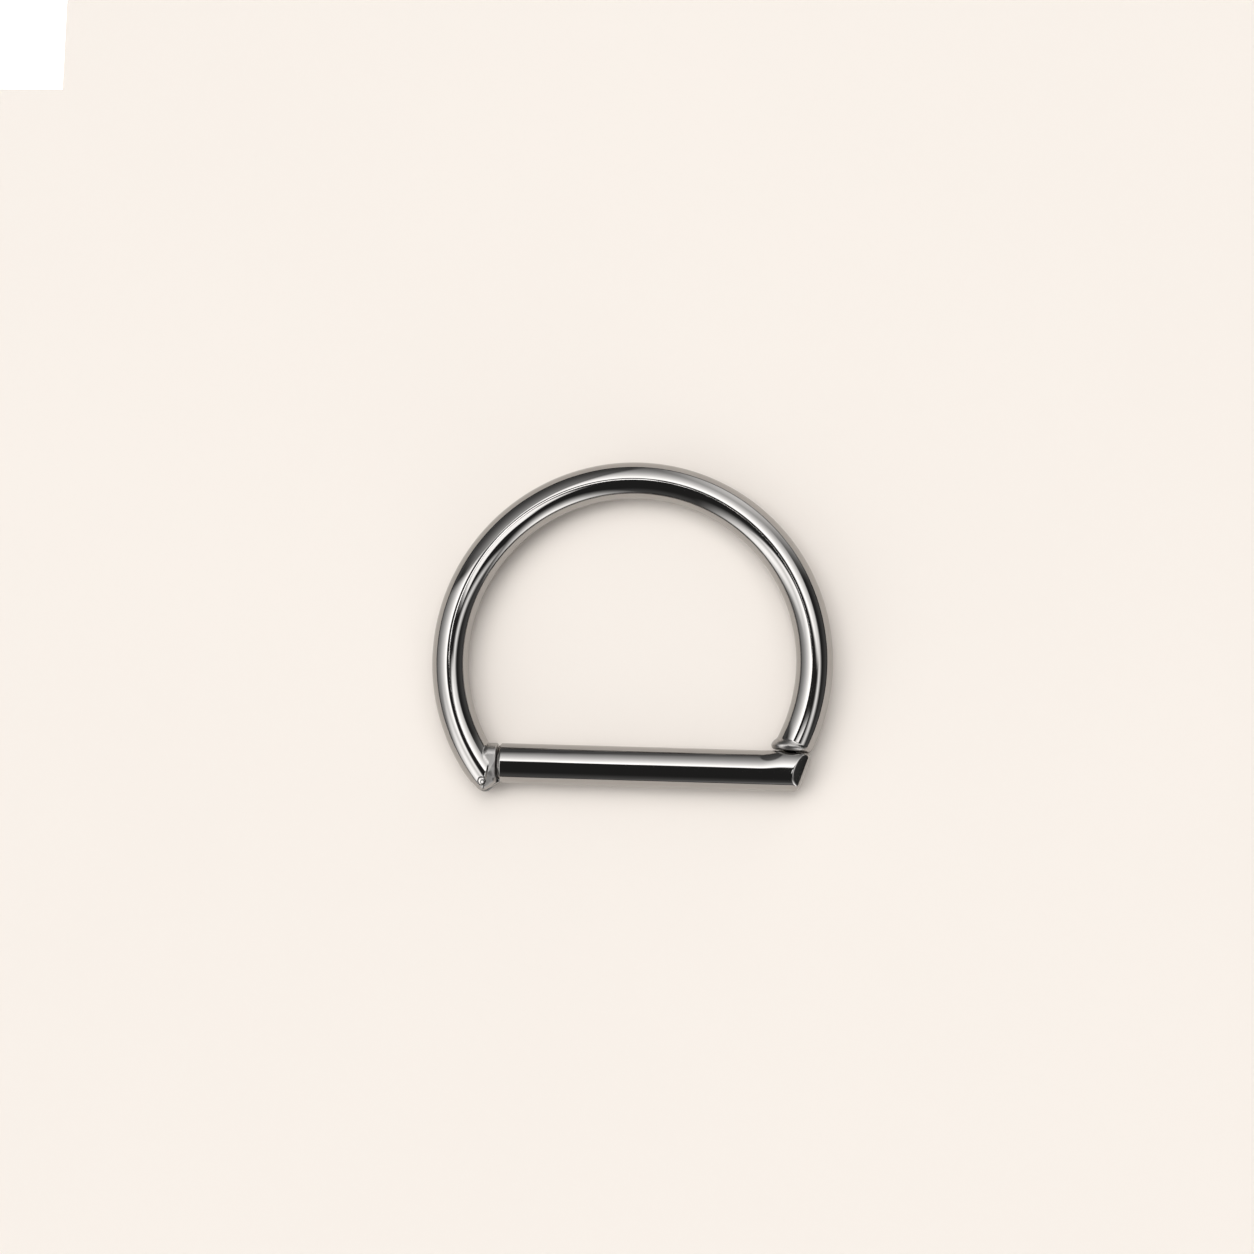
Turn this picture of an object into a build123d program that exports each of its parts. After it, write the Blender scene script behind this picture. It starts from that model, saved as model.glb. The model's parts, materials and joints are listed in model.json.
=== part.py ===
from build123d import *
from math import atan2, cos, degrees, hypot, radians, sin, sqrt
import os

# A hinged segment ring lying on its side. Everything is drawn about the centre of the curved
# wire, with X along the straight bar and Y from the bar to the top of the curve, in the plane
# that holds the axes of the wire and the bar. At the end the whole ring is moved so that it
# lies on Z = 0 with its box centred on the origin.

# Curved wire
inner_diameter = 10.0
wire_diameter = 1.12

# Straight bar, the segment that opens
bar_diameter = 1.22
bar_drop = 3.19  # from the centre of the curve down to the axis of the bar
bar_end_chamfer = 0.085

# Hinge corner, on the left
pin_outward = 0.235  # axis of the pin outside the middle of the wire
pin_lift = 0.02  # axis of the pin above the underside of the bar
pin_diameter = 0.22
pin_dome = 0.04  # rounding of the ends of the pin
pin_to_seam = 0.43  # from the axis of the pin to the middle of the seam
hinge_seam_gap = 0.04
hinge_collar_length = 0.45
hinge_collar_rounding = 0.2
knuckle_radius = 0.275
tongue_radius = 0.24
tongue_thickness = 0.4
tongue_root_depth = 0.15  # how far the tongue is let into the bar
tongue_root_low = 0.08  # lower and upper corners of its root, above the axis of the pin
tongue_root_high = 0.45
slot_side_clearance = 0.03
slot_edge_clearance = 0.035
pin_running_clearance = 0.02
pin_seat_clearance = 0.01
opening_angle = 80.0

# Closing corner, on the right
closing_seam_dip = 0.03  # middle of the seam below the line of the top of the bar
closing_seam_gap = 0.05
closing_lean = 5.5  # degrees that the closing face leans outwards
closing_collar_length = 0.36
closing_collar_rounding = 0.15
elbow_bend = 0.39  # radius of the bend of the elbow, at the middle of the bar
elbow_rise = 0.24  # middle of that bend above the axis of the bar
elbow_flat = 0.47  # radius within which the top of the elbow stays as high as the bar
elbow_headroom = 0.04  # height of the elbow's rounding above the top of the bar
nub_radius = 0.24
nub_height = 0.12
nub_clearance = 0.04

seam_softening = 0.05  # small rounding of the hinge collar at its seam
corner_point = 0.01  # size of the dots that mark the corners of an outline

wire_radius = wire_diameter / 2
bar_radius = bar_diameter / 2
path_radius = inner_diameter / 2 + wire_radius
outer_radius = path_radius + wire_radius
corner_x = sqrt(path_radius**2 - bar_drop**2)  # where the two axes cross
corner_angle = degrees(atan2(bar_drop, corner_x))

pin_y = pin_lift - bar_drop - bar_radius
pin_x = -sqrt((path_radius + pin_outward) ** 2 - pin_y**2)
hinge_seam_x = pin_x + pin_to_seam
hinge_face_x = hinge_seam_x - hinge_seam_gap / 2
bar_start_x = hinge_seam_x + hinge_seam_gap / 2

closing_y = bar_radius - closing_seam_dip - bar_drop
closing_x = sqrt(path_radius**2 - closing_y**2)
lean = radians(closing_lean)
closing_plane = Plane(
    origin=(closing_x, closing_y, 0),
    x_dir=(cos(lean), -sin(lean), 0),
    z_dir=(sin(lean), cos(lean), 0),
)
half_closing_gap = closing_seam_gap / 2

lowest_y = pin_y - knuckle_radius
resting_place = Pos(0, -(outer_radius + lowest_y) / 2, bar_radius)


def on_circle(radius, angle):
    """Point about the centre of the curve, with the angle in degrees from +X."""
    return radius * cos(radians(angle)), radius * sin(radians(angle))


def bent_wire(start, end):
    """Stretch of the curved wire between two angles, in degrees from +X."""
    tangent = (-sin(radians(start)), cos(radians(start)), 0)
    section = Plane(origin=on_circle(path_radius, start), z_dir=tangent) * Circle(wire_radius)
    return revolve(section, Axis.Z, revolution_arc=end - start)


def bar_between(start_x, end_x):
    """Round bar on the axis of the segment."""
    middle = ((start_x + end_x) / 2, -bar_drop, 0)
    return Plane(origin=middle, z_dir=(1, 0, 0)) * Cylinder(bar_radius, end_x - start_x)


def half_space(distance, side):
    """Block that fills one side of the closing seam, from a distance off its middle."""
    width = 4 * bar_diameter
    block = Box(width, width, 2 * bar_diameter, align=(Align.CENTER, Align.CENTER, side))
    return closing_plane * Pos(0, 0, distance) * block


def disc(point, radius):
    """Circle in the plane of the ring."""
    return Pos(*point) * Circle(radius)


def slab_round(discs, thickness):
    """Flat plate drawn tight round some circles, half above and half below the plane."""
    edges = [edge for circle in discs for edge in circle.edges()]
    return extrude(make_hull(edges), thickness / 2, both=True)


def pin_bore(clearance):
    """Hole along the axis of the pin."""
    return Pos(pin_x, pin_y) * Cylinder(pin_diameter / 2 + clearance, 2 * bar_diameter)


def rim(collar, axis, index):
    """Round edge of a collar, the first or the last along an axis."""
    return collar.edges().filter_by(GeomType.CIRCLE).sort_by(axis)[index]


def tongue_corner(height, turn=0.0):
    """Root corner of the tongue at a height over the pin, with the bar opened by an angle."""
    reach_x = bar_start_x + tongue_root_depth - pin_x
    distance = hypot(reach_x, height)
    angle = atan2(height, reach_x) - radians(turn)
    return pin_x + distance * cos(angle), pin_y + distance * sin(angle)


def tongue_plate():
    """Flat tongue that reaches from inside the bar to round the pin."""
    root = [disc(tongue_corner(h), corner_point) for h in (tongue_root_low, tongue_root_high)]
    return slab_round([disc((pin_x, pin_y), tongue_radius), *root], tongue_thickness)


def tongue_slot():
    """Slot in the fork, as wide as the tongue and its swing need."""
    corners = [tongue_corner(tongue_root_high)]
    for turn in (0, opening_angle / 2, opening_angle):
        corners.append(tongue_corner(tongue_root_low, turn))
    swept = [disc(corner, slot_edge_clearance) for corner in corners]
    eye = disc((pin_x, pin_y), tongue_radius + slot_edge_clearance)
    return slab_round([eye, *swept], tongue_thickness + 2 * slot_side_clearance)


def hinge_tip():
    """The last of the wire, drawn in to the round knuckle about the pin."""
    knuckle_turn = degrees(knuckle_radius / path_radius)
    pin_angle = degrees(atan2(-pin_y, -pin_x))
    run = bent_wire(180 + corner_angle, 180 + pin_angle + 2 * knuckle_turn)
    corners = [on_circle(r, 180 + corner_angle) for r in (path_radius - wire_radius, outer_radius)]
    for side in (-1, 1):
        seam_y = -bar_drop + side * (bar_radius - corner_point)
        corners.append((hinge_face_x - corner_point, seam_y))
    dots = [disc(corner, corner_point) for corner in corners]
    plan = [disc((pin_x, pin_y), knuckle_radius), *dots]
    return run & slab_round(plan, 2 * wire_diameter)


def hinge_collar():
    """Short collar in line with the bar, which the wire runs into."""
    collar = bar_between(hinge_face_x - hinge_collar_length, hinge_face_x)
    collar = fillet(rim(collar, Axis.X, 0), hinge_collar_rounding)
    return fillet(rim(collar, Axis.X, -1), seam_softening)


def closing_collar():
    """Short collar above the closing seam, square to the closing face."""
    seat = closing_plane * Pos(0, 0, half_closing_gap + closing_collar_length / 2)
    collar = seat * Cylinder(bar_radius, closing_collar_length)
    return fillet(rim(collar, Axis.Y, -1), closing_collar_rounding)


def nub_ball(clearance):
    """Ball of the closing nub, or with a clearance the dimple that it clicks into."""
    sunk = nub_height - nub_radius - half_closing_gap
    return closing_plane * Pos(0, 0, sunk) * Rot(90, 0, 0) * Sphere(nub_radius + clearance)


def ring_arc():
    """Curved wire with both collars, the fork of the hinge and the closing dimple."""
    closing_angle = degrees(atan2(closing_y, closing_x))
    overrun = degrees(wire_radius / path_radius)
    wire = bent_wire(closing_angle - overrun, 180 + corner_angle)
    arc = wire - half_space(half_closing_gap, Align.MAX) + closing_collar()
    arc = arc + hinge_tip() + hinge_collar()
    return arc - tongue_slot() - pin_bore(pin_seat_clearance) - nub_ball(nub_clearance)


def hinge_pin():
    """Pin across the fork, rounded where its ends show at the surface of the wire."""
    half_length = sqrt(wire_radius**2 - pin_outward**2)
    pin = Pos(pin_x, pin_y) * Cylinder(pin_diameter / 2, 2 * half_length)
    return fillet(pin.edges().filter_by(GeomType.CIRCLE), pin_dome)


def elbow_waste():
    """What is taken off the free end of the bar to leave its rounded elbow."""
    elbow_radius = bar_radius + elbow_bend
    middle = Pos(corner_x, elbow_rise - bar_drop)
    reach = elbow_radius + bar_diameter
    from_middle = (Align.MIN, Align.CENTER, Align.CENTER)
    block = Box(reach, 2 * reach, 2 * bar_diameter, align=from_middle)
    crown_height = bar_radius + elbow_headroom
    crown = Pos(elbow_flat, 0) * Ellipse(elbow_radius - elbow_flat, crown_height)
    outer_half = Rectangle(reach, 2 * crown_height, align=from_middle[:2])
    flat = Rectangle(elbow_flat, 2 * crown_height, align=from_middle[:2])
    profile = Plane.XZ * ((crown & outer_half) + flat)
    return middle * (block - revolve(profile, Axis.Z))


def segment_bar():
    """Straight bar with its hinge tongue, and the elbow with the closing face and nub."""
    bar = bar_between(bar_start_x, corner_x + bar_radius + elbow_bend)
    bar = chamfer(rim(bar, Axis.X, 0), bar_end_chamfer)
    stub = closing_plane * Pos(0, 0, -bar_radius / 2) * Cylinder(bar_radius, bar_radius)
    bar = bar + stub - half_space(-half_closing_gap, Align.MIN) - elbow_waste()
    return bar + tongue_plate() + nub_ball(0) - pin_bore(pin_running_clearance)


os.makedirs("parts", exist_ok=True)
for name, make in (
    ("ring_arc", ring_arc),
    ("hinge_pin", hinge_pin),
    ("segment_bar", segment_bar),
):
    export_step(resting_place * make(), f"parts/{name}.step")
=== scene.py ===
# %% [markdown]
# A hinged segment ring, dressed for its photograph.
# The ring is a polished round wire bent to most of a circle. A straight round bar closes it and swings
# open on a tiny pin. The solids come in already at their real size and place, and they stay as they are.
# Their surfaces are made of small flats, which a mirror polish would show, so each gets a finer skin here.

import json
from math import atan2, cos, degrees, hypot, pi, radians, sin, sqrt

import bmesh
import bpy
import numpy as np
from mathutils import Matrix, Vector


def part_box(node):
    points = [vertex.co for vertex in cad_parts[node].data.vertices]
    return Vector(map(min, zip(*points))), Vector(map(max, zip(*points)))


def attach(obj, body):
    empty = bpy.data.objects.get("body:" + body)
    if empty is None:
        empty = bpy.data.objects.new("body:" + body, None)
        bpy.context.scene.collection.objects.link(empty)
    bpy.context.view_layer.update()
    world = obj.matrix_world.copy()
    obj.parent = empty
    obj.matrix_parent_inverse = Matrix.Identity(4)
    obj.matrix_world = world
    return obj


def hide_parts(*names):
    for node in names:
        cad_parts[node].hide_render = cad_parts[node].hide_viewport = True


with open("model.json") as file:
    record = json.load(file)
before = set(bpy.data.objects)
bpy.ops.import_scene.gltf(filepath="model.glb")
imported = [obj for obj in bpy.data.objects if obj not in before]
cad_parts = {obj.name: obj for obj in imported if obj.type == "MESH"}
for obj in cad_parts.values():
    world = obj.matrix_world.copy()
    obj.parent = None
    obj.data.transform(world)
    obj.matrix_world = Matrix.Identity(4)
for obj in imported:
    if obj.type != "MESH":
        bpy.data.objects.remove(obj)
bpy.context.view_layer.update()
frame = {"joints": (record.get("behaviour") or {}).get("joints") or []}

# %% [markdown]
# Sizes are in millimetres about the centre of the curved wire, with X along the bar and Y towards the
# top of the curve. That is how such a ring is drawn at the bench. The frame says where that centre lies:
# one outer radius below the highest point of the curve, and half a bar above the table.

# %% Sizes of the ring
MM = 0.001

wire_radius = 0.56
bar_radius = 0.61
path_radius = 5.56  # from the centre of the curve to the axis of its wire
bar_drop = 3.19  # from the centre of the curve down to the axis of the bar
outer_radius = path_radius + wire_radius
corner_x = sqrt(path_radius**2 - bar_drop**2)  # where the two axes cross
corner_angle = degrees(atan2(bar_drop, corner_x))

ring_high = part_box("ring_arc")[1]
centre_of_curve = Vector((0, ring_high.y / MM - outer_radius, bar_radius))
print("centre of the curve, mm:", [round(c, 3) for c in centre_of_curve])

# %% [markdown]
# The hinge is a tongue on the bar inside a fork at the wire's end, with a pin through both. What turns
# needs room, so the slot and the bores are wider than the tongue and the pin by named clearances. A short
# collar and a round knuckle are joined to the wire there and dressed with a file, which leaves two flats.

# %% Sizes of the hinge corner
pin_radius = 0.11
pin_outward = 0.235  # axis of the pin outside the middle of the wire
pin_lift = 0.02  # axis of the pin above the underside of the bar
pin_y = pin_lift - bar_drop - bar_radius
pin_x = -sqrt((path_radius + pin_outward) ** 2 - pin_y**2)
pin_to_seam = 0.43
pin_seat_clearance = 0.01
pin_running_clearance = 0.02
hinge_gap = 0.04
hinge_seam_x = pin_x + pin_to_seam
collar_end_x = hinge_seam_x - hinge_gap / 2
bar_start_x = hinge_seam_x + hinge_gap / 2
bar_chamfer = 0.085
chamfer_edge = 0.012
hinge_collar_length = 0.45
hinge_collar_rounding = 0.2
hinge_face_rounding = 0.05
crease = 0.03  # fillet where a collar runs into the wire
dressed_height = 0.5  # the file leaves the collar and the knuckle a little flat
facet_start, facet_end = (-3.97, -3.07), (-4.3, -3.68)  # the upper edge of the file's second flat
facet_tilt = radians(25)
facet_rounding = 0.06
knuckle_radius = 0.275
knuckle_inset = 0.02  # how far it stays below the surface of the wire
knuckle_rounding = 0.12
knuckle_edge = 0.03
knuckle_crease = 0.02
nose_rounding = 0.06
nose_corner = 0.03
least_rounding = 1e-3  # keeps a rounding above nothing where it fades out
tongue_radius = 0.24
tongue_thickness = 0.4
tongue_depth = 0.15  # how far it is let into the bar
slot_side_clearance = 0.03
slot_edge_clearance = 0.035
slot_corner = 0.005
slot_edge = 0.012
bore_edge = 0.015
tongue_bore_edge = 0.008
opening = frame["joints"][0]["range_deg"][1]
print("pin at", round(pin_x, 3), round(pin_y, 3), "and the bar opens by", opening, "degrees")

# %% [markdown]
# At the closing corner the bar turns up into an elbow and meets the wire's other collar at a seam. A nub
# on the elbow clicks into a dimple in the collar. The bar swells a little towards the seam, and the end
# of the elbow is ground off, so that it has an upright middle and a slope above and below it.

# %% Sizes of the closing corner
closing_gap = 0.05
closing_dip = 0.03  # middle of the seam below the line of the top of the bar
closing_lean = radians(5.5)  # the closing face leans outwards
closing_y = bar_radius - closing_dip - bar_drop
closing_x = sqrt(path_radius**2 - closing_y**2)
closing_collar_length = 0.36
closing_collar_rounding = 0.28
seam_filed = 0.16  # rounding of the collar's edge at the seam
elbow_rise = 0.24  # middle of its round outline above the axis of the bar
elbow_y = elbow_rise - bar_drop
elbow_radius = 1.03
elbow_end = Vector((5.537, -2.819, 0))  # a point of the flat that its end is ground to
elbow_lean = radians(-18.7)  # the way that this flat looks
elbow_slope = radians(45)  # how steeply the end falls off above and below its upright middle
elbow_upright = 0.24  # half the height of that middle
elbow_keel = 0.04  # how softly the slopes begin
elbow_rim = 0.06  # rounding of the edge between the middle and the slopes
elbow_corner = 0.1  # rounding where the flat runs into the round outline
elbow_edge = 0.03  # rounding of the edge between the slopes and the bar
swell_start, swell_end = 4.0, 4.75  # where the bar swells towards the seam
swell = 0.1  # how much wider its upper side gets there
swell_power = 2.4  # how square, where 2 is round
seam_rounding = 0.04
nub_radius = 0.24
nub_height = 0.12
nub_middle = nub_height - nub_radius - closing_gap / 2  # above the middle of the seam
nub_clearance = 0.04
fine_edge = 0.01  # rounding of an edge that is only broken
print("closing seam at", round(closing_x, 3), round(closing_y, 3))

# %% [markdown]
# The corners have collars, blended creases and a forked tip, all dressed by hand, so no edge is truly sharp.
# Booleans leave such edges knife sharp, and a bevel on their ragged result tends to break. A distance
# field does it simply: a function that says how far a point is outside the metal, negative inside.
# Joining two fields with a small round in the crease is one line, and so is rounding a common edge.


# %% Fields and how they join
def join(a, b, softness):
    """Both fields together, with a round fillet in the crease."""
    near_a = np.maximum(softness - a, 0)
    near_b = np.maximum(softness - b, 0)
    return np.maximum(softness, np.minimum(a, b)) - np.hypot(near_a, near_b)


def common(a, b, softness):
    """Only what lies in both fields, with their common edge rounded off."""
    near_a = np.maximum(softness + a, 0)
    near_b = np.maximum(softness + b, 0)
    return np.minimum(-softness, np.maximum(a, b)) + np.hypot(near_a, near_b)


def cut(a, b, softness):
    """The first field without the second, the edge rounded off."""
    return common(a, -b, softness)


def hull(discs):
    """Corners of a string drawn tight round some circles, each given as x, y, radius."""
    turns = np.radians(np.arange(0, 360, 2.5))
    points = sorted((x + r * cos(t), y + r * sin(t)) for x, y, r in discs for t in turns)
    sides = []
    for run in (points, points[::-1]):
        side = []
        for p in run:
            while len(side) > 1 and turns_right(side[-2], side[-1], p):
                side.pop()
            side.append(p)
        sides += side[:-1]
    return sides


def turns_right(a, b, c):
    """Whether the way from a over b to c bends to the right or is straight."""
    return (b[0] - a[0]) * (c[1] - a[1]) - (b[1] - a[1]) * (c[0] - a[0]) <= 1e-12


def plan(x, y, corners):
    """Distance outside an outline without hollows, in the plane of the ring."""
    distance = np.full(np.shape(x), -np.inf)
    for (ax, ay), (bx, by) in zip(corners, corners[1:] + corners[:1]):
        length = hypot(bx - ax, by - ay)
        side = ((by - ay) * (x - ax) - (bx - ax) * (y - ay)) / length
        distance = np.maximum(distance, side)
    return distance


print("outline of one disc has", len(hull([(0, 0, 1)])), "corners")

# %% [markdown]
# A field has to become a mesh. A grid of small cells is laid over an end, each cell that the surface
# passes through gets one point, and neighbouring points are joined by quads. The points are then moved
# along the slope of the field until they lie exactly on it, so the mesh has no steps. The slope is also
# the true normal, which is kept as the mesh's own normals, so that reflections run without a ripple.


# %% From a field to a mesh
def slope(field, points, reach=1e-4):
    """Gradient of a field at some points."""
    result = np.empty_like(points)
    for axis in range(3):
        step = np.zeros(3)
        step[axis] = reach
        ahead = field(*(points + step).T)
        behind = field(*(points - step).T)
        result[:, axis] = (ahead - behind) / (2 * reach)
    return result


def settle(field, points, longest, rounds=5):
    """Points moved along the slope until they lie on the surface."""
    for _ in range(rounds):
        steep = slope(field, points)
        steep_squared = np.maximum((steep**2).sum(1), 1e-6)
        move = (field(*points.T) / steep_squared)[:, None] * steep
        length = np.maximum(np.linalg.norm(move, axis=1), 1e-12)
        points = points - move * np.minimum(1, longest / length)[:, None]
    return points


def net(field, low, high, step=0.017):
    """Points and quads of the surface of a field inside a box, from cells one step wide."""
    low = np.array(low, float)
    counts = np.ceil((np.array(high) - low) / step).astype(int) + 1
    grid = np.meshgrid(*(low[i] + step * np.arange(counts[i]) for i in range(3)), indexing="ij")
    value = field(*grid)
    inside = value < 0
    corners = [(i, j, k) for i in (0, 1) for j in (0, 1) for k in (0, 1)]
    full = np.zeros([count - 1 for count in inside.shape], int)
    for i, j, k in corners:
        full += inside[i : i - 1 or None, j : j - 1 or None, k : k - 1 or None]
    cells = np.argwhere((full > 0) & (full < len(corners)))
    number = np.full(full.shape, -1)
    number[tuple(cells.T)] = np.arange(len(cells))
    total = np.zeros((len(cells), 3))
    found = np.zeros(len(cells))
    for axis in range(3):
        along = np.eye(3, dtype=int)[axis]
        for corner in corners:
            if corner[axis]:
                continue
            start = value[tuple((cells + corner).T)]
            end = value[tuple((cells + corner + along).T)]
            crossed = (start < 0) != (end < 0)
            share = start[crossed] / (start[crossed] - end[crossed])
            total[crossed] += np.array(corner) + share[:, None] * along
            found[crossed] += 1
    points = low + step * (cells + total / found[:, None])
    quads = []
    for axis in range(3):
        first, second = (axis + 1) % 3, (axis + 2) % 3
        lower = np.moveaxis(inside, axis, 0)[:-1]
        upper = np.moveaxis(inside, axis, 0)[1:]
        edges = np.argwhere(np.moveaxis(lower != upper, 0, axis))
        held = (edges[:, first] > 0) & (edges[:, second] > 0)
        held &= (edges[:, first] < full.shape[first]) & (edges[:, second] < full.shape[second])
        edges = edges[held]
        around = []
        for back_first, back_second in ((1, 1), (0, 1), (0, 0), (1, 0)):
            cell = edges.copy()
            cell[:, first] -= back_first
            cell[:, second] -= back_second
            around.append(number[tuple(cell.T)])
        faces = np.stack(around, 1)
        outward = inside[tuple(edges.T)]
        quads.append(np.where(outward[:, None], faces, faces[:, ::-1]))
    return settle(field, points, step), np.concatenate(quads)


def ball(x, y, z):
    """A ball of radius 1, to try the net on."""
    return np.hypot(np.hypot(x, y), z) - 1


ball_points, ball_quads = net(ball, (-1.3, -1.3, -1.3), (1.3, 1.3, 1.3), 0.2)
print("the net of a ball has", len(ball_points), "points and", len(ball_quads), "quads")


# %% [markdown]
# Between the corners the wire is plain: a circle carried along a path. That is a job for Geometry Nodes.
# One small tree takes a path and sweeps a round section along it, with the radius and the number of
# sides as named inputs, and it makes both the curved wire and the straight bar.


# %% A tree that draws wire along a path
def drawn_wire_tree():
    """Geometry Nodes group that sweeps a round section along a path."""
    tree = bpy.data.node_groups.new("drawn_wire", "GeometryNodeTree")
    tree.interface.new_socket("Path", in_out="INPUT", socket_type="NodeSocketGeometry")
    tree.interface.new_socket("Radius", in_out="INPUT", socket_type="NodeSocketFloat")
    tree.interface.new_socket("Sides", in_out="INPUT", socket_type="NodeSocketInt")
    tree.interface.new_socket("Metal", in_out="INPUT", socket_type="NodeSocketMaterial")
    tree.interface.new_socket("Wire", in_out="OUTPUT", socket_type="NodeSocketGeometry")
    given = tree.nodes.new("NodeGroupInput")
    path = tree.nodes.new("GeometryNodeMeshToCurve")
    section = tree.nodes.new("GeometryNodeCurvePrimitiveCircle")
    sweep = tree.nodes.new("GeometryNodeCurveToMesh")
    real = tree.nodes.new("GeometryNodeRealizeInstances")
    metal = tree.nodes.new("GeometryNodeSetMaterial")
    made = tree.nodes.new("NodeGroupOutput")
    for start, end in (
        (given.outputs["Path"], path.inputs["Mesh"]),
        (given.outputs["Radius"], section.inputs["Radius"]),
        (given.outputs["Sides"], section.inputs["Resolution"]),
        (path.outputs["Curve"], sweep.inputs["Curve"]),
        (section.outputs["Curve"], sweep.inputs["Profile Curve"]),
        (sweep.outputs["Mesh"], real.inputs["Geometry"]),
        (real.outputs["Geometry"], metal.inputs["Geometry"]),
        (given.outputs["Metal"], metal.inputs["Material"]),
        (metal.outputs["Geometry"], made.inputs["Wire"]),
    ):
        tree.links.new(start, end)
    return tree


def drawn_wire(name, stations, radius, material, sides=96):
    """Open tube along some stations, as a plain mesh in millimetres."""
    path = bpy.data.meshes.new(name + "_path")
    path.from_pydata(stations, [(i, i + 1) for i in range(len(stations) - 1)], [])
    holder = bpy.data.objects.new(name + "_path", path)
    bpy.context.scene.collection.objects.link(holder)
    modifier = holder.modifiers.new("wire", "NODES")
    modifier.node_group = wire_tree
    for item in wire_tree.interface.items_tree:
        given = {"Radius": radius, "Sides": sides, "Metal": material}.get(item.name)
        if given is not None:
            modifier[item.identifier] = given
    bpy.context.view_layer.update()
    seen = holder.evaluated_get(bpy.context.evaluated_depsgraph_get())
    mesh = bpy.data.meshes.new_from_object(seen)
    holder.modifiers.remove(modifier)
    bpy.data.objects.remove(holder)
    return mesh


wire_tree = drawn_wire_tree()
print("the tree has", len(wire_tree.nodes), "nodes")

# %% [markdown]
# Materials are written as sums. A small class stands for one socket of a node tree, and plus, minus,
# times and divide on it add the Math nodes. Everything else comes from its one method, which takes the
# kind of node, its settings and what goes into its sockets.


# %% Sockets that can be reckoned with
class Socket:
    """One output of a node. Arithmetic on it adds Math nodes to its tree."""

    def __init__(self, tree, socket):
        self.tree = tree
        self.socket = socket

    def node(self, kind, settings=None, inputs=None, output=0):
        """Adds a node with its settings, feeds its sockets and gives one of its outputs."""
        made = self.tree.nodes.new(kind)
        for name, value in (settings or {}).items():
            setattr(made, name, value)
        for name, value in (inputs or {}).items():
            if isinstance(value, Socket):
                self.tree.links.new(value.socket, made.inputs[name])
            else:
                made.inputs[name].default_value = value
        return Socket(self.tree, made.outputs[output]) if made.outputs else None

    def math(self, operation, *others):
        """A Math node with this socket first."""
        inputs = dict(enumerate((self,) + others))
        return self.node("ShaderNodeMath", {"operation": operation}, inputs)

    def __add__(self, other):
        return self.math("ADD", other)

    __radd__ = __add__

    def __mul__(self, other):
        return self.math("MULTIPLY", other)

    __rmul__ = __mul__

    def __sub__(self, other):
        return self.math("SUBTRACT", other)

    def __rsub__(self, other):
        return self.math("MULTIPLY_ADD", -1.0, other)

    def __truediv__(self, other):
        return self.math("DIVIDE", other)

    def larger(self, other):
        """The larger of two values."""
        return self.math("MAXIMUM", other)

    def rise(self, start, end, low=0.0, high=1.0):
        """A soft step from low to high as the value goes from start to end."""
        inputs = {"Value": self, "From Min": start, "From Max": end, "To Min": low, "To Max": high}
        return self.node("ShaderNodeMapRange", {"interpolation_type": "SMOOTHSTEP"}, inputs, "Result")

    def noise(self, scale, detail=2.0, roughness=0.5):
        """Noise over this place, from 0 to 1."""
        inputs = {"Vector": self, "Scale": scale, "Detail": detail, "Roughness": roughness}
        return self.node("ShaderNodeTexNoise", None, inputs, "Fac")

    def between(self, first, second):
        """Colour between two, by this value."""
        return self.node("ShaderNodeMix", {"data_type": "RGBA"}, {0: self, 6: first, 7: second}, 2)

    def relief(self, depth):
        """Normal of a surface that rises and falls by this value, to a depth in metres."""
        inputs = {"Height": self, "Distance": depth, "Strength": 1.0}
        return self.node("ShaderNodeBump", None, inputs, "Normal")

    def vector(self, operation, other, output=0):
        """A Vector Math node with this socket first."""
        return self.node("ShaderNodeVectorMath", {"operation": operation}, {0: self, 1: other}, output)


def new_material(name):
    """A material with an empty tree, and the place on the piece to start from."""
    material = bpy.data.materials.new(name)
    material.use_nodes = True
    material.node_tree.nodes.clear()
    place = material.node_tree.nodes.new("ShaderNodeTexCoord")
    return material, Socket(material.node_tree, place.outputs["Object"])


# %% [markdown]
# The wire and the bar are mirror-polished steel, which gives back under half of the light. A hand polish
# is never quite flat: long shallow waves bend the reflections a little, and faint smudges dull them. The
# collars and the knuckle are dressed with a fine file after the wire is joined to them, and the buff
# doesn't reach their creases, so they are satin. An attribute of the mesh says how much a point is filed.


# %% Polished and filed steel
def polished_steel():
    """Mirror polish with shallow waves and faint smudges, satin where the mesh says it is filed."""
    material, place = new_material("polished_steel")
    filed = place.node("ShaderNodeAttribute", {"attribute_name": "filed"}, None, "Fac")
    smudges = place.noise(900.0, 3.0, 0.6)
    waves = place.noise(650.0, 1.0)
    marks = place.noise(26000.0, 2.0)
    relief = waves + marks * (filed * 0.12 + 0.004)
    mirror = smudges.rise(0.35, 0.75, 0.03, 0.06)
    satin = smudges.rise(0.3, 0.7, 0.24, 0.34)
    inputs = {
        "Base Color": smudges.between((0.37, 0.357, 0.345, 1), (0.41, 0.398, 0.386, 1)),
        "Metallic": 1.0,
        "Roughness": mirror + filed * (satin - mirror),
        "Normal": relief.relief(4e-6),
    }
    surface = place.node("ShaderNodeBsdfPrincipled", None, inputs, "BSDF")
    place.node("ShaderNodeOutputMaterial", None, {"Surface": surface})
    return material


steel = polished_steel()
print(steel.name, "has", len(steel.node_tree.nodes), "nodes")

# %% [markdown]
# The ends of the pin are peened and then ground flush with the wire and polished with it. All that shows
# is the round seam and the mark of the punch: a point left bright inside a small dark ring of painted shade,
# a little off centre.


# %% Steel of the pin
punch_offset = (0.03, -0.025, 0)  # from the axis of the pin


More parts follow.
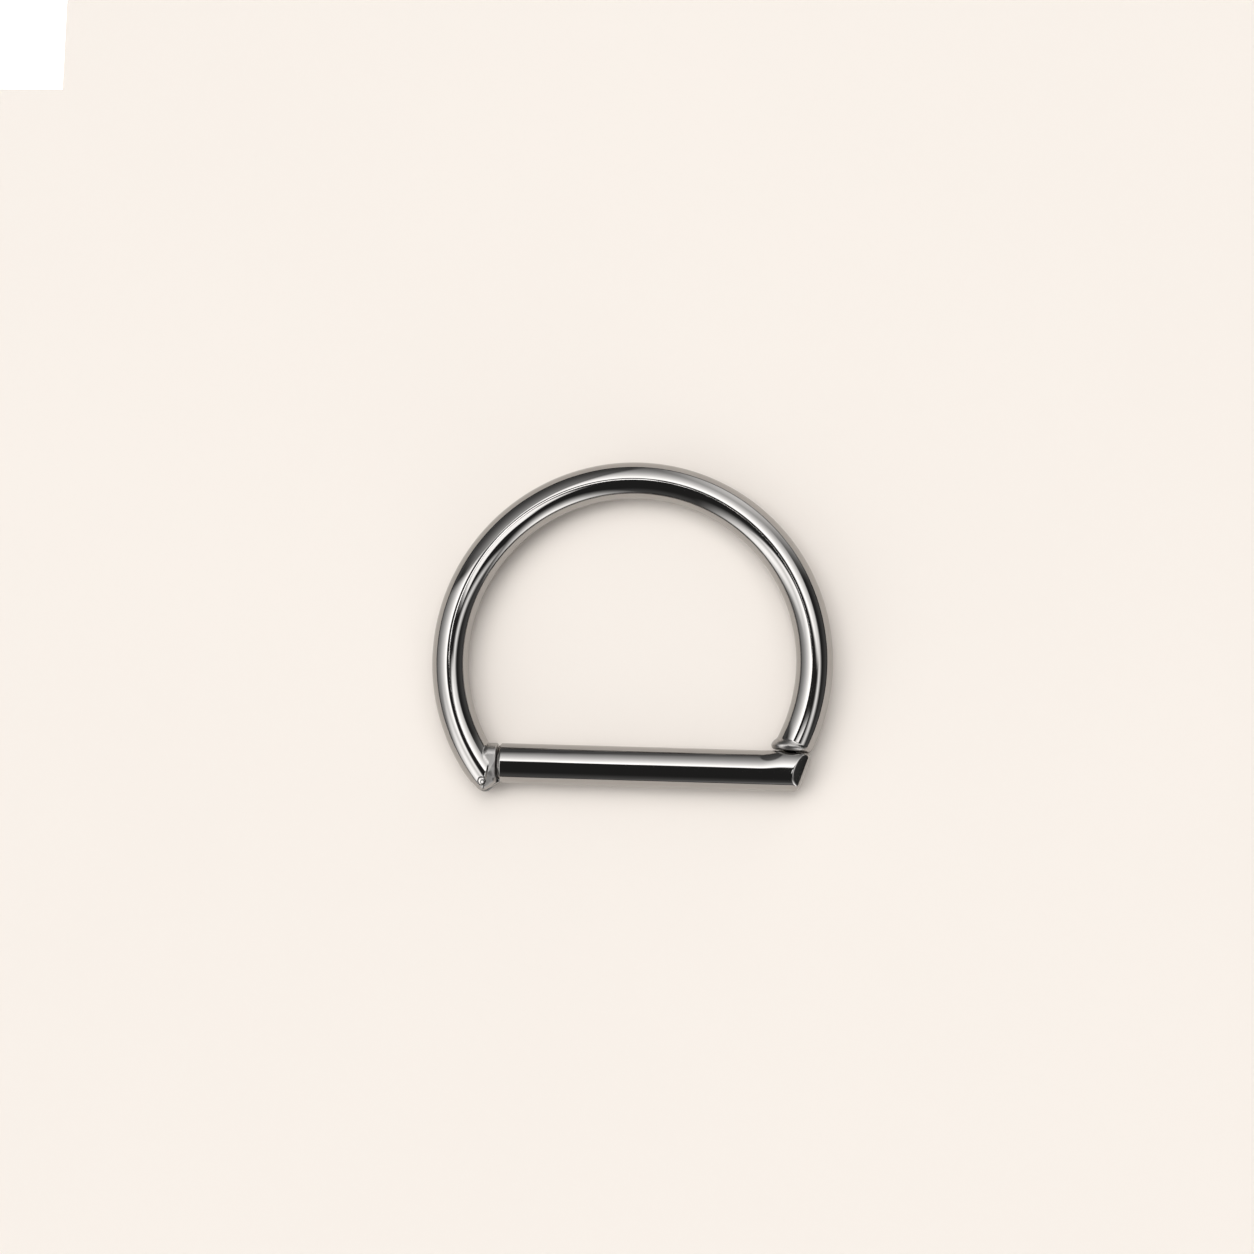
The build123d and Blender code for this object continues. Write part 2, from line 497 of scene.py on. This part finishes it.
def pin_steel():
    """Polished steel, with a small dark ring of painted shade round the mark of the punch."""
    material, place = new_material("pin_steel")
    middle = (centre_of_curve + Vector((pin_x, pin_y, 0)) + Vector(punch_offset)) * MM
    flat = place.vector("SUBTRACT", middle).vector("MULTIPLY", (1, 1, 0))
    off_axis = place.node("ShaderNodeVectorMath", {"operation": "LENGTH"}, {0: flat}, "Value")
    inner_edge = off_axis.rise(0.034 * MM, 0.044 * MM)
    outer_edge = off_axis.rise(0.082 * MM, 0.068 * MM)
    # the dark ring is painted shade in the base colour; the pin's mesh has no groove there
    punch_ring_shade = inner_edge * outer_edge
    grain = place.noise(18000.0, 2.0)
    colour = punch_ring_shade.between((0.45, 0.437, 0.424, 1), (0.1, 0.097, 0.094, 1))
    inputs = {
        "Base Color": colour,
        "Metallic": 1.0,
        "Roughness": grain.rise(0.3, 0.7, 0.06, 0.12),
        "Normal": grain.relief(2e-7),
    }
    surface = place.node("ShaderNodeBsdfPrincipled", None, inputs, "BSDF")
    place.node("ShaderNodeOutputMaterial", None, {"Surface": surface})
    return material


peened = pin_steel()
print(peened.name, "has", len(peened.node_tree.nodes), "nodes")

# %% [markdown]
# Now the pieces as fields, seen first in plan. The curved wire ends on the left in a round knuckle about
# the pin, and the bar in a tongue with a root inside it. Their outlines are strings drawn tight round
# some discs, much as the solids have them. The slot goes round all that the tongue swings through.

# %% Outlines at the hinge
dot = 0.01  # radius of the discs that mark sharp corners
root_x = bar_start_x + tongue_depth
root_low, root_high = 0.08, 0.45  # corners of the tongue's root above the axis of the pin


def turned_corner(height, turn):
    """Root corner of the tongue with the bar opened by some degrees."""
    distance = hypot(root_x - pin_x, height)
    angle = atan2(height, root_x - pin_x) - radians(turn)
    return pin_x + distance * cos(angle), pin_y + distance * sin(angle)


def on_ray(radius, angle):
    """Point about the centre of the curve, the angle in degrees from +X."""
    return radius * cos(radians(angle)), radius * sin(radians(angle))


def discs(places, radius):
    """Discs of one radius at some places."""
    return [(px, py, radius) for px, py in places]


wire_corners = [on_ray(r, 180 + corner_angle) for r in (path_radius - wire_radius, outer_radius)]
seam_corners = [(collar_end_x - dot, -bar_drop + side * (bar_radius - dot)) for side in (-1, 1)]
# The other discs are x, y and radius.
tip_back = [(*on_ray(outer_radius - 0.05, 218), 0.05), (-4.56, -3.9, 0.07)]
nose_tip = [(pin_x, pin_y, 0.1), (-4.26, -3.31, 0.04)]
slot_mouth = (*on_ray(outer_radius + 0.12, 220), 0.12)  # lets the slot out through the tip
nose_outline = hull(discs(wire_corners, nose_corner) + nose_tip + tip_back)
knuckle_disc = (pin_x, pin_y, knuckle_radius)
tip_outline = hull([knuckle_disc] + discs(wire_corners + seam_corners, dot) + tip_back)
swept = [turned_corner(root_high, 0)] + [turned_corner(root_low, t) for t in (0, opening / 2, opening)]
slot_eye = (pin_x, pin_y, tongue_radius + slot_edge_clearance)
slot_outline = hull([slot_eye, slot_mouth] + discs(swept, slot_edge_clearance))
tongue_root = [turned_corner(height, 0) for height in (root_low, root_high)]
tongue_outline = hull([(pin_x, pin_y, tongue_radius)] + discs(tongue_root, dot))
print("corners in plan: nose", len(nose_outline), "tip", len(tip_outline), "slot", len(slot_outline))

# %% [markdown]
# The outlines are then given their height. The wire narrows to a nose that the buff has reached, so it is
# as bright as the rest. The knuckle lies a hair below it, and the file's flats cut it and the collar.


# %% The curved wire's end at the hinge
def wire_field(x, y, z):
    """Endless curved wire, a full circle."""
    return np.hypot(np.hypot(x, y) - path_radius, z) - wire_radius


def rod_field(y, z):
    """Endless straight rod of the bar's thickness."""
    return np.hypot(y + bar_drop, z) - bar_radius


def from_pin(x, y):
    """Distance from the axis of the pin."""
    return np.hypot(x - pin_x, y - pin_y)


def past_corner(x, y):
    """Distance past the place where the axes of the wire and the bar cross."""
    return x * sin(radians(corner_angle)) - y * cos(radians(corner_angle))


def wire_nose(x, y, z):
    """The curved wire with its rounded nose about the pin."""
    wire = wire_field(x, y, z)
    past = past_corner(x, y)
    rounding = np.clip(past * 0.25, least_rounding, nose_rounding)
    return np.where(past < 0, wire, common(wire, plan(x, y, nose_outline), rounding))


def filed_flats(x, y, z):
    """What the two flats of the file leave, one level and one that falls off to the lower right."""
    (ax, ay), (bx, by) = facet_start, facet_end
    past_edge = ((x - ax) * (ay - by) - (y - ay) * (ax - bx)) / hypot(ax - bx, ay - by)
    level = np.abs(z) - dressed_height
    return common(level, past_edge * sin(facet_tilt) + level * cos(facet_tilt), fine_edge)


def hinge_end(x, y, z):
    """The wire's forked end at the hinge, with its knuckle and collar."""
    past = past_corner(x, y)
    flats = filed_flats(x, y, z)
    rounding = np.clip(past, least_rounding, knuckle_rounding)
    knuckle = common(plan(x, y, tip_outline), flats, rounding)
    knuckle = common(knuckle, wire_field(x, y, z) + knuckle_inset, knuckle_edge)
    wire = wire_nose(x, y, z)
    wire = np.where(past < 0, wire, join(wire, knuckle, knuckle_crease))
    collar = common(rod_field(y, z), collar_end_x - hinge_collar_length - x, hinge_collar_rounding)
    collar = common(collar, flats, facet_rounding)
    collar = common(collar, x - collar_end_x, hinge_face_rounding)
    metal = join(wire, collar, crease)
    slot_sides = np.abs(z) - tongue_thickness / 2 - slot_side_clearance
    metal = cut(metal, common(plan(x, y, slot_outline), slot_sides, slot_corner), slot_edge)
    return cut(metal, from_pin(x, y) - pin_radius - pin_seat_clearance, bore_edge)


metal_at_pin = float(hinge_end(*np.array([[pin_x], [pin_y], [wire_radius / 2]]))[0])
print("the bore leaves the axis of the pin", round(metal_at_pin, 3), "mm clear of the wire")

# %% [markdown]
# On the right the wire ends in a second collar above the closing seam. Its face has a shallow dimple
# that the nub on the bar clicks into. Places there are counted along the seam and square to it.


# %% The curved wire's end at the closing seam
def seam_height(x, y):
    """Height above the middle of the closing seam, square to its face."""
    return (x - closing_x) * sin(closing_lean) + (y - closing_y) * cos(closing_lean)


def across_seam(x, y):
    """Distance along the seam, to the right of its middle."""
    return (x - closing_x) * cos(closing_lean) - (y - closing_y) * sin(closing_lean)


def from_seam_axis(x, y, z):
    """Distance from the line through the middle of the seam, square to its face."""
    return np.hypot(across_seam(x, y), z)


def closing_end(x, y, z):
    """The wire's end at the closing seam, with its collar and dimple."""
    up = seam_height(x, y)
    off_axis = from_seam_axis(x, y, z)
    face = closing_gap / 2 - up
    collar_top = up - closing_gap / 2 - closing_collar_length
    collar = common(off_axis - bar_radius, collar_top, closing_collar_rounding)
    metal = common(join(wire_field(x, y, z), collar, crease), face, seam_filed)
    dimple = np.hypot(off_axis, up - nub_middle) - nub_radius - nub_clearance
    return cut(metal, dimple, fine_edge)


dimple_depth = nub_middle + nub_radius + nub_clearance - closing_gap / 2
print("the dimple is", round(dimple_depth, 3), "mm deep")

# %% [markdown]
# The bar starts on the left with a small chamfer and the tongue that the pin holds. On the right it
# turns up into a short elbow, cut off at the closing seam, with a nub on its face. In plan its outer end
# is a flat that runs into a round outline. That end is upright in the middle and slopes above and below.


# %% The two ends of the bar
def bar_start(x, y, z):
    """The bar's chamfered start with its tongue."""
    rod = rod_field(y, z)
    face = bar_start_x - x
    bar = common(rod, face, fine_edge)
    bar = common(bar, (rod + face + bar_chamfer) * sqrt(0.5), chamfer_edge)
    tongue = common(plan(x, y, tongue_outline), np.abs(z) - tongue_thickness / 2, fine_edge)
    metal = join(bar, tongue, fine_edge)
    return cut(metal, from_pin(x, y) - pin_radius - pin_running_clearance, tongue_bore_edge)


def bar_elbow(x, y, z):
    """The bar's elbow with its closing face and nub."""
    up = seam_height(x, y)
    off_axis = from_seam_axis(x, y, z)
    share = np.clip((x - swell_start) / (swell_end - swell_start), 0, 1)
    share = share**2 * (3 - 2 * share)
    above = np.maximum(y + bar_drop, 0) / (bar_radius + swell * share)
    beside = bar_radius * above ** (1 + (swell_power / 2 - 1) * share) + np.minimum(y + bar_drop, 0)
    metal = common(np.hypot(beside, z) - bar_radius, up + closing_gap / 2, seam_rounding)
    flat = (x - elbow_end.x) * cos(elbow_lean) + (y - elbow_end.y) * sin(elbow_lean)
    out = common(flat, np.hypot(x - corner_x, y - elbow_y) - elbow_radius, elbow_corner)
    apart = np.hypot(np.maximum(np.abs(z) - elbow_upright, 0), elbow_keel) - elbow_keel
    end = common(out * sin(elbow_slope) + apart * cos(elbow_slope), out, elbow_rim)
    metal = np.where(x > corner_x, common(metal, end, elbow_edge), metal)
    nub = np.hypot(off_axis, up - nub_middle) - nub_radius
    return join(metal, nub, fine_edge)


print("the bar's axis runs from", round(bar_start_x, 3), "to the elbow at", round(corner_x, 3))


# %% [markdown]
# A piece is a drawn stretch with an end at each side. Each end is netted in its own box, trimmed square
# across the wire, and bridged to the drawn stretch, which gives one closed skin without a seam.


# %% Put a drawn stretch and its ends together
box_height = 0.68  # half the height of the boxes that the ends are netted in
filed_fade = 0.015  # how far off the wire its polish ends


def add_end(shape, field, low, high, trim_at, trim_towards):
    """Adds the net of a field to a mesh being built, trimmed at a plane, and bridges it to the rest."""
    points, quads = net(field, (*low, -box_height), (*high, box_height))
    part = bmesh.new()
    verts = [part.verts.new(p) for p in points]
    for quad in quads:
        part.faces.new([verts[i] for i in quad])
    whole = part.verts[:] + part.edges[:] + part.faces[:]
    bmesh.ops.bisect_plane(part, geom=whole, plane_co=trim_at, plane_no=trim_towards, clear_outer=True)
    loose = bpy.data.meshes.new("loose")
    part.to_mesh(loose)
    part.free()
    shape.from_mesh(loose)
    bpy.data.meshes.remove(loose)
    bmesh.ops.bridge_loops(shape, edges=open_edges(shape, trim_at))


def open_edges(shape, point):
    """The open edges of a mesh nearest to a point."""
    edges = [e for e in shape.edges if len(e.link_faces) == 1]
    return [e for e in edges if (e.verts[0].co - Vector(point)).length < 2 * wire_radius]


def finish_piece(name, shape, field, off_wire=None):
    """Turns the built mesh into an object in metres, with the field's slope as its normals."""
    bmesh.ops.recalc_face_normals(shape, faces=shape.faces)
    mesh = bpy.data.meshes.new(name)
    shape.to_mesh(mesh)
    shape.free()
    places = np.empty(3 * len(mesh.vertices))
    mesh.vertices.foreach_get("co", places)
    places = places.reshape(-1, 3)
    normals = slope(field, places, 1e-3)
    normals /= np.maximum(np.linalg.norm(normals, axis=1), 1e-9)[:, None]
    mesh.transform(Matrix.Scale(MM, 4) @ Matrix.Translation(centre_of_curve))
    mesh.shade_smooth()
    mesh.normals_split_custom_set_from_vertices(normals)
    mesh.materials.clear()
    mesh.materials.append(steel)
    if off_wire:
        filed = mesh.attributes.new("filed", "FLOAT", "POINT")
        filed.data.foreach_set("value", np.clip(off_wire(*places.T) / filed_fade, 0, 1))
    piece = bpy.data.objects.new(name, mesh)
    bpy.context.scene.collection.objects.link(piece)
    open_left = sum(1 for e in edge_uses(mesh) if e != 2)
    print(name, len(mesh.polygons), "faces,", open_left, "edges not shared by two")
    return piece


def edge_uses(mesh):
    """How many faces use each edge."""
    uses = np.zeros(len(mesh.edges), int)
    loops = np.empty(len(mesh.loops), int)
    mesh.loops.foreach_get("edge_index", loops)
    np.add.at(uses, loops, 1)
    return uses


# %% [markdown]
# The curved wire is drawn from the closing seam round to the hinge. Where the mesh lies off the round of
# the wire itself, on the collars and the knuckle, it is marked as filed.


# %% The curved wire
def round_the_curve(angle):
    """Station on the path of the wire and the direction along it, at an angle from +X."""
    place = Vector((*on_ray(path_radius, angle), 0))
    return place, Vector((-sin(radians(angle)), cos(radians(angle)), 0))


def curved_wire():
    """The bent wire with both its ends, as one closed skin."""
    first, last = -19.5, 206.0  # degrees from +X where the two ends take over
    margin = 0.3  # left open for the bridges
    closing_box = (4.2, -2.72), (5.9, -1.55)
    hinge_box = (-5.65, -4.12), (-3.92, -1.95)
    closing_side_x, closing_top_y = 4.0, -1.4  # right of and below these the closing end begins
    shape = bmesh.new()
    angles = np.linspace(first + margin, last - margin, 300)
    stations = [round_the_curve(a)[0] for a in angles]
    sweep = drawn_wire("curved_wire", stations, wire_radius, steel)
    shape.from_mesh(sweep)
    bpy.data.meshes.remove(sweep)
    place, along = round_the_curve(first)
    add_end(shape, closing_end, *closing_box, place, along)
    place, along = round_the_curve(last)
    add_end(shape, hinge_end, *hinge_box, place, -along)

    def whole(x, y, z):
        left, right = hinge_end(x, y, z), closing_end(x, y, z)
        plain = wire_field(x, y, z)
        return np.where(x < closing_side_x, left, np.where(y < closing_top_y, right, plain))

    def off_wire(x, y, z):
        near_seam = closing_gap / 2 + seam_filed - seam_height(x, y)
        right = np.maximum(wire_field(x, y, z), near_seam)
        return np.where(x < 0, wire_nose(x, y, z), right)

    return finish_piece("curved_wire", shape, whole, off_wire)


arc = curved_wire()


# %% [markdown]
# The straight bar is drawn in the same way, from the hinge to the elbow. It is polished all over.


# %% The straight bar
def straight_bar():
    """The bar with its tongue and its elbow, as one closed skin."""
    first, last = -3.6, 3.9  # where the two ends take over
    margin = 0.03  # left open for the bridges
    start_box = (-4.68, -4.08), (-3.54, -2.5)
    elbow_box = (3.84, -3.88), (5.62, -2.42)
    shape = bmesh.new()
    stations = [(x, -bar_drop, 0) for x in np.linspace(first + margin, last - margin, 90)]
    sweep = drawn_wire("straight_bar", stations, bar_radius, steel)
    shape.from_mesh(sweep)
    bpy.data.meshes.remove(sweep)
    along = Vector((1, 0, 0))
    place = Vector((first, -bar_drop, 0))
    add_end(shape, bar_start, *start_box, place, along)
    place = Vector((last, -bar_drop, 0))
    add_end(shape, bar_elbow, *elbow_box, place, -along)

    def whole(x, y, z):
        return np.where(x < 0, bar_start(x, y, z), bar_elbow(x, y, z))

    return finish_piece("straight_bar", shape, whole)


bar = straight_bar()


# %% [markdown]
# The pin is a stack of round sections on its axis. The sections near its ends follow the surface of the
# wire, so that its ends are flush, with their edge a little rounded.


# %% The pin
def ground_pin():
    """Pin whose ends follow the round of the wire."""
    sides = 64
    rounding = 0.02  # of the edge of its ends
    sections = [(pin_radius * share, 0.0) for share in (0, 0.2, 0.4, 0.6)]
    sections.append((pin_radius - rounding, 0.0))
    for turn in (30, 50, 70, 90):
        t = radians(turn)
        sections.append((pin_radius - rounding * (1 - sin(t)), rounding * (1 - cos(t))))
    shape = bmesh.new()
    rings = []
    for side, stack in ((1, sections), (-1, sections[::-1])):
        for r, sunk in stack:
            ring = []
            for i in range(sides if r else 1):
                x = pin_x + r * cos(2 * pi * i / sides)
                y = pin_y + r * sin(2 * pi * i / sides)
                surface = sqrt(wire_radius**2 - (hypot(x, y) - path_radius) ** 2)
                ring.append(shape.verts.new((x, y, side * (surface - sunk))))
            rings.append(ring)
    for upper, lower in zip(rings, rings[1:]):
        for i in range(sides):
            ways = ((upper, i), (lower, i), (lower, i + 1), (upper, i + 1))
            corners = [ring[k % len(ring)] for ring, k in ways]
            shape.faces.new(list(dict.fromkeys(corners)))
    bmesh.ops.recalc_face_normals(shape, faces=shape.faces)
    mesh = bpy.data.meshes.new("ground_pin")
    shape.to_mesh(mesh)
    shape.free()
    mesh.transform(Matrix.Scale(MM, 4) @ Matrix.Translation(centre_of_curve))
    mesh.shade_smooth()
    mesh.materials.append(peened)
    piece = bpy.data.objects.new("ground_pin", mesh)
    bpy.context.scene.collection.objects.link(piece)
    print("ground_pin", len(mesh.polygons), "faces")
    return piece


pin = ground_pin()

# %% [markdown]
# The ring has two bodies. The pin sits fast in the curved wire and goes with it, and the bar swings. Each
# piece takes the place of the solid that it covers.

# %% Hang the pieces on their bodies
for piece, body, node, finish in (
    (arc, "ring", "ring_arc", "polished_steel"),
    (pin, "ring", "hinge_pin", "pin_steel"),
    (bar, "segment", "segment_bar", "polished_steel"),
):
    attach(piece, body)
    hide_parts(node)
    print(piece.name, "goes with", body)

# %% [markdown]
# The ring lies on a pale, slightly warm board. It is matte, so the ring has a shadow there but no
# reflection, and it is large enough to fill every view.


# %% The floor
def pale_board():
    """Matte board, a very faint mottle in its colour."""
    material, place = new_material("pale_board")
    mottle = place.noise(90.0, 4.0, 0.6)
    colour = mottle.between((0.868, 0.806, 0.746, 1), (0.884, 0.822, 0.762, 1))
    inputs = {"Base Color": colour, "Roughness": 0.9, "Specular IOR Level": 0.1}
    surface = place.node("ShaderNodeBsdfPrincipled", None, inputs, "BSDF")
    place.node("ShaderNodeOutputMaterial", None, {"Surface": surface})
    return material


half_floor = 3.0  # metres
floor_mesh = bpy.data.meshes.new("floor")
floor_corners = [(x * half_floor, y * half_floor, 0) for x, y in ((-1, -1), (1, -1), (1, 1), (-1, 1))]
floor_mesh.from_pydata(floor_corners, [], [(0, 1, 2, 3)])
floor_mesh.materials.append(pale_board())
floor = bpy.data.objects.new("floor", floor_mesh)
bpy.context.scene.collection.objects.link(floor)
print("the board is", 2 * half_floor, "m wide")

# %% [markdown]
# Polished steel shows its surroundings, so the light is most of the picture. Lamps would only give hot
# spots. The studio is drawn on the sky instead: a dark room with soft white windows, which the wire and
# the bar squeeze into long bands. Each window is laid out on a flat ceiling over the ring, its corners
# given as how far east and north of the ring they are, in heights of that ceiling.

# %% The sky and its measures
world = bpy.data.worlds.new("studio")
bpy.context.scene.world = world
world.use_nodes = True
world.node_tree.nodes.clear()
sky_start = world.node_tree.nodes.new("ShaderNodeTexCoord")
sky = Socket(world.node_tree, sky_start.outputs["Generated"])


def along(direction):
    """How far the way that is looked goes along a direction."""
    return sky.vector("DOT_PRODUCT", direction, "Value")


def left_of(start, end, softness):
    """White to the left of the line between two corners, with a soft edge."""
    square = Vector((*start, 1)).cross(Vector((*end, 1)))
    return along(square.normalized()).rise(-softness, softness)


def window(corners, softness, closed=False):
    """Soft white window. Its corners go round anticlockwise, and an open one runs on to the horizon."""
    ends = corners[1:] + corners[:1] if closed else corners[1:]
    shape = None
    for start, end in zip(corners, ends):
        side = left_of(start, end, softness)
        shape = side if shape is None else shape * side
    return shape


height = along((0, 0, 1))
from_zenith = height.math("ARCCOSINE") * degrees(1)
fading = ((from_zenith - 12).larger(0) / -28).math("EXPONENT")  # from 12 degrees off the zenith
print("measures of the sky:", len(world.node_tree.nodes), "nodes")

# %% [markdown]
# Round wire gathers each window into a band that runs along it, and the dark lines between the bands are
# the gaps between the windows. North is towards the top of the picture and east to the right. On the left
# of the curve the outer half of the wire looks west, where the two brightest windows stand.

# %% The windows of the studio
north = window([(-0.45, 6.6), (-0.22, 0.175), (0.73, 0.08), (1.1, 6.6)], 0.04) * fading * 3.9
north_west = window([(-5.2, 2.8), (-0.22, 0.16), (-0.35, 6.6)], 0.08) * fading * 1.25
west = window([(-6.6, -6.3), (-1.05, -1.08), (-0.23, 0.19), (-3.5, 1.55)], 0.04) * fading * 5.2
south_west = window([(-6.6, -6.6), (-0.94, -0.86), (-0.79, 0.09), (-2.8, -1.4)], 0.36) * 5.0
south_east = window([(4.4, -3.9), (0.62, -1.32), (1.06, -6.6)], 0.35) * 3.4
strip = window([(0.45, 0.1), (1.6, -1.26), (1.82, -1.15), (0.0, 1.22)], 0.14, True) * 2.4
north_east = window([(0.22, 1.59), (0.13, 0.54), (6.6, 6.6)], 0.35) * 1.7
overhead = window([(0.0, -0.21), (0.27, -0.39), (0.38, -0.06), (0.0, 0.035)], 0.04, True) * 3.0

light = from_zenith.rise(50, 80, 0.04, 0.15)
for pane in (north, north_west, west, south_west, south_east, strip, north_east, overhead):
    light = light.larger(pane)
above_horizon = height.rise(0.02, 0.16)
light = light * above_horizon + (1 - above_horizon) * 0.05
background = sky.node("ShaderNodeBackground", None, {"Strength": light}, "Background")
sky.node("ShaderNodeOutputWorld", None, {"Surface": background})
print("the studio has", len(world.node_tree.nodes), "nodes")

# %% [markdown]
# The windows are far away, so they look the same from every part of the ring. A small white card hangs
# close over the upper left. It fills in the dark line in the middle of the wire there and nowhere else.

# %% The small card
glow, glow_place = new_material("small_card")
card_light = glow_place.node("ShaderNodeEmission", None, {"Strength": 3.4}, "Emission")
glow_place.node("ShaderNodeOutputMaterial", None, {"Surface": card_light})
card_middle = centre_of_curve + Vector((-6.5, 6.3, 50))
card_width, card_depth = 3.6, 3.4
card_corners = []
for x, y in ((-0.5, -0.5), (-0.5, 0.5), (0.5, 0.5), (0.5, -0.5)):
    card_corners.append((card_middle + Vector((x * card_width, y * card_depth, 0))) * MM)
card_mesh = bpy.data.meshes.new("small_card")
card_mesh.from_pydata(card_corners, [], [(0, 1, 2, 3)])
card_mesh.materials.append(glow)
card = bpy.data.objects.new("small_card", card_mesh)
bpy.context.scene.collection.objects.link(card)
print("small card at", [round(c) for c in card_middle], "mm")

# %% [markdown]
# The ring's shadow falls softly to the lower right. A broad lamp at the upper left gives it, and fills in
# the board. It is kept out of the reflections, where it would add a spot that the windows don't.

# %% The fill lamp
lamp = bpy.data.lights.new("fill", "SUN")
lamp.energy = 1.05
lamp.angle = radians(55)
fill = bpy.data.objects.new("fill", lamp)
fill_from = Vector((-0.27, 0.27, 0.92))
fill.rotation_mode = "QUATERNION"
fill.rotation_quaternion = fill_from.to_track_quat("Z", "Y")
fill.visible_glossy = False
bpy.context.scene.collection.objects.link(fill)
print("fill lamp leans", round(degrees(fill_from.angle(Vector((0, 0, 1))))), "degrees")

# %% [markdown]
# The photograph looks almost straight down. The camera leans a little to the lower right, so a little
# more of that side of each rod shows. A long lens keeps the ring's circle round.

# %% The camera
lean = radians(8.25)
lean_bearing = radians(-45)
bar_slope = radians(-1.4)  # the bar runs down to the right in the picture
camera_distance = 106 * MM
looked_at = Vector((-0.178, 0.026, 0.61)) * MM

back = Vector((sin(lean) * cos(lean_bearing), sin(lean) * sin(lean_bearing), cos(lean)))
right = Vector((1, 0, 0)) - back * back.x
right.normalize()
right = Matrix.Rotation(-bar_slope, 3, back) @ right
above = back.cross(right)
lens = bpy.data.cameras.new("camera")
lens.lens = 100
lens.sensor_width = 36
lens.clip_start = 0.001
camera = bpy.data.objects.new("camera", lens)
turn = Matrix((right, above, back)).transposed().to_4x4()
camera.matrix_world = Matrix.Translation(looked_at + back * camera_distance) @ turn
bpy.context.scene.collection.objects.link(camera)
bpy.context.scene.camera = camera
print("the camera is", round(camera_distance / MM), "mm from the ring")

view = bpy.context.scene.view_settings
view.view_transform = "Standard"
view.look = "None"
